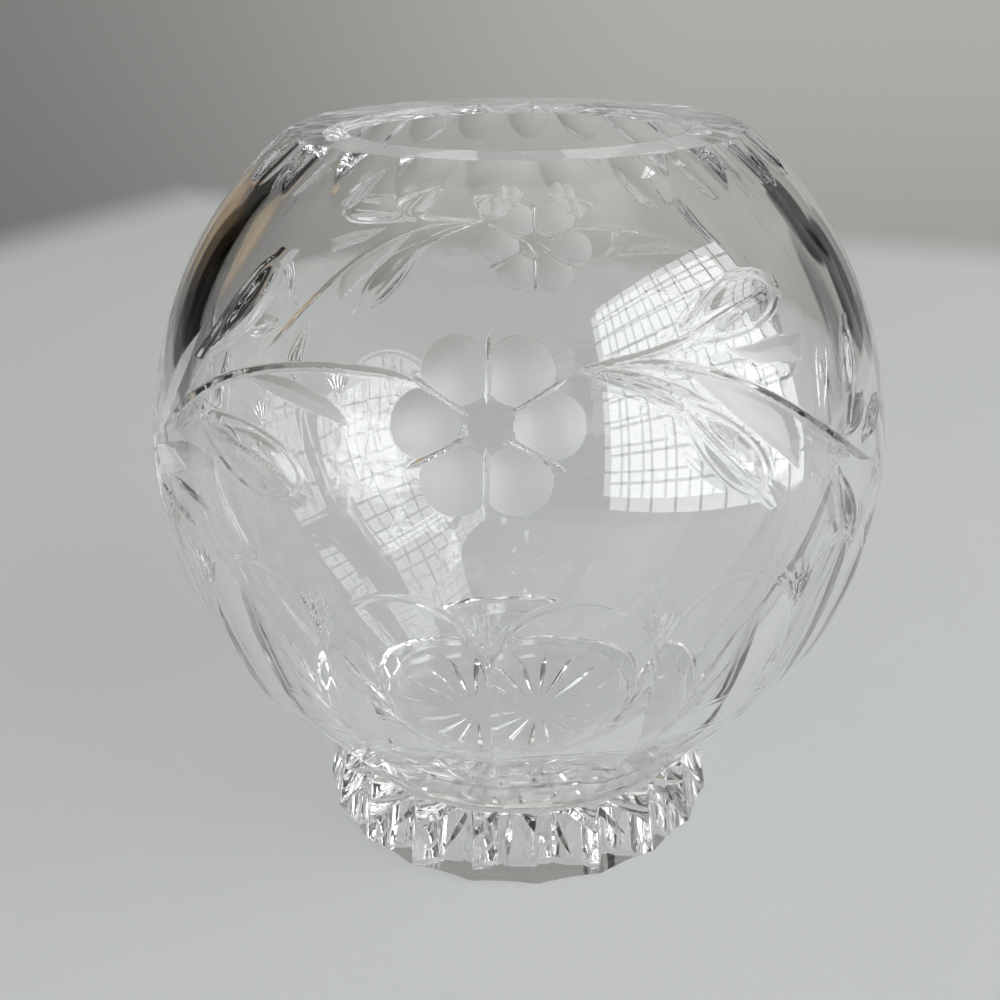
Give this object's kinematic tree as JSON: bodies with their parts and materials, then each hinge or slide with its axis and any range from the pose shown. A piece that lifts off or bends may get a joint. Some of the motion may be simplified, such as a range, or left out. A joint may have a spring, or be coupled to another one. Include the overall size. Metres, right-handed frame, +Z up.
{
  "type": "rose bowl vase",
  "caption": "Footed ball-shaped cut-crystal rose bowl: open mouth with a fluted flat lip, flat-cut lower panels, satin flower and leaf cutting, heavy fluted foot; holds flowers in water.",
  "frame": {"origin": "centre of the foot's underside, on the surface the bowl stands on", "axes": "+Z up along the bowl's axis of turning, -Y towards the front flower"},
  "size_m": [0.14, 0.14, 0.138],
  "materials": {
    "crystal": "polished, with satin petals and leaves"
  },
  "bodies": {
    "root": {"bowl": "crystal", "joining_ring": "crystal", "foot": "crystal"}
  },
  "joints": []
}
